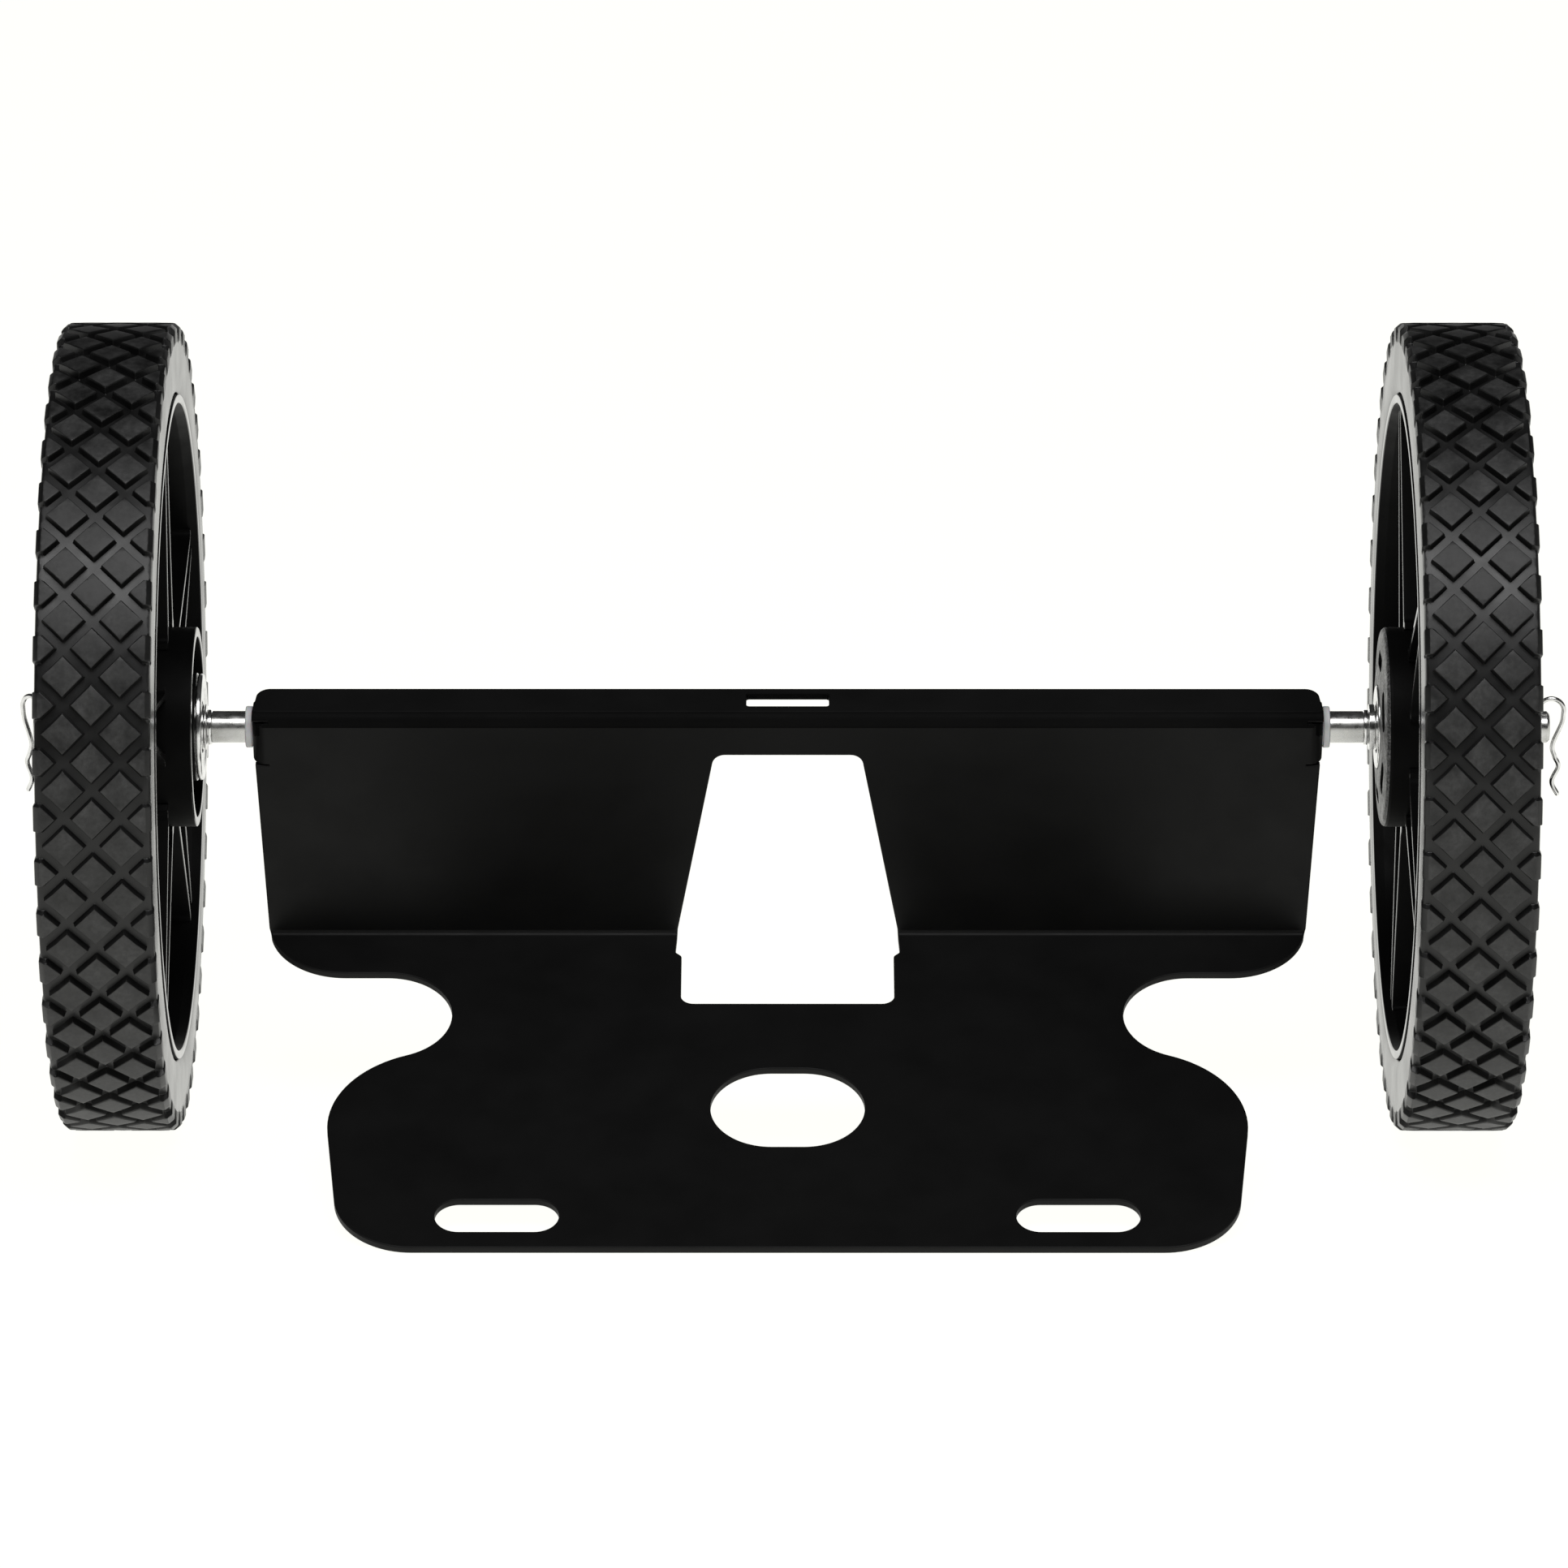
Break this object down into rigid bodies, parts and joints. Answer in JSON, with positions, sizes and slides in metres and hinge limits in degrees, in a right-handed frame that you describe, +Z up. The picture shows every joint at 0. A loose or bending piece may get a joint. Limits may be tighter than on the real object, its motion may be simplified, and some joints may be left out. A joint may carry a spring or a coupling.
{
  "type": "strap-on wheel axle bracket",
  "caption": "Z-bent black steel deck plate on a zinc axle with diamond-tread wheels, hitch clips and strap slots, for making a box or cooler roll.",
  "frame": {"origin": "on the floor below the middle of the whole kit, as it stands on both tyres and on the front edge of its deck", "axes": "+X along the axle, -Y to the front (the deck's side), +Z up"},
  "size_m": [0.4865, 0.2572, 0.254],
  "materials": {
    "powder_coat": "semi-gloss black powder coat on steel plate",
    "zinc_steel": "zinc-plated steel with a mottled sheen",
    "bright_steel": "bright plated steel",
    "tyre_rubber": "black rubber: dusty matte blocks, smooth sidewalls",
    "rim_plastic": "moulded black plastic",
    "nylon": "natural nylon"
  },
  "bodies": {
    "bracket": {"bracket_plate": "powder_coat", "left_axle_bushing": "nylon", "right_axle_bushing": "nylon"},
    "axle": {"axle": "zinc_steel", "left_retaining_ring": "bright_steel", "left_inner_washer": "bright_steel", "left_outer_washer": "bright_steel", "left_hub_spacer": "zinc_steel", "left_inner_bearing_race": "bright_steel", "left_outer_bearing_race": "bright_steel", "right_retaining_ring": "bright_steel", "right_inner_washer": "bright_steel", "right_outer_washer": "bright_steel", "right_hub_spacer": "zinc_steel", "right_inner_bearing_race": "bright_steel", "right_outer_bearing_race": "bright_steel"},
    "left_wheel": {"left_tyre": "tyre_rubber", "left_rim": "rim_plastic", "left_hub_and_spokes": "rim_plastic", "left_inner_bearing_cup": "bright_steel", "left_outer_bearing_cup": "bright_steel"},
    "left_balls": {"left_inner_ball_ring": "bright_steel", "left_outer_ball_ring": "bright_steel"},
    "left_clip": {"left_hitch_clip": "bright_steel"},
    "right_wheel": {"right_tyre": "tyre_rubber", "right_rim": "rim_plastic", "right_hub_and_spokes": "rim_plastic", "right_inner_bearing_cup": "bright_steel", "right_outer_bearing_cup": "bright_steel"},
    "right_balls": {"right_inner_ball_ring": "bright_steel", "right_outer_ball_ring": "bright_steel"},
    "right_clip": {"right_hitch_clip": "bright_steel"}
  },
  "joints": [
    {"name": "axle_spin", "type": "hinge", "parent": "bracket", "child": "axle", "pos_m": [0, 0.00164, 0.127], "axis": [1, 0, 0], "continuous": true},
    {"name": "left_wheel_spin", "type": "hinge", "parent": "axle", "child": "left_wheel", "pos_m": [0, 0.00164, 0.127], "axis": [1, 0, 0], "continuous": true},
    {"name": "left_balls_spin", "type": "hinge", "parent": "axle", "child": "left_balls", "pos_m": [0, 0.00164, 0.127], "axis": [1, 0, 0], "continuous": true},
    {"name": "left_clip_pull", "type": "slide", "parent": "axle", "child": "left_clip", "axis": [0, 0, 1], "range_m": [0, 0.03]},
    {"name": "right_wheel_spin", "type": "hinge", "parent": "axle", "child": "right_wheel", "pos_m": [0, 0.00164, 0.127], "axis": [1, 0, 0], "continuous": true},
    {"name": "right_balls_spin", "type": "hinge", "parent": "axle", "child": "right_balls", "pos_m": [0, 0.00164, 0.127], "axis": [1, 0, 0], "continuous": true},
    {"name": "right_clip_pull", "type": "slide", "parent": "axle", "child": "right_clip", "axis": [0, 0, 1], "range_m": [0, 0.03]}
  ],
  "couplings": [
    {"joint": "left_balls_spin", "follows": "left_wheel_spin", "ratio": 0.60938},
    {"joint": "right_balls_spin", "follows": "right_wheel_spin", "ratio": 0.60938}
  ]
}
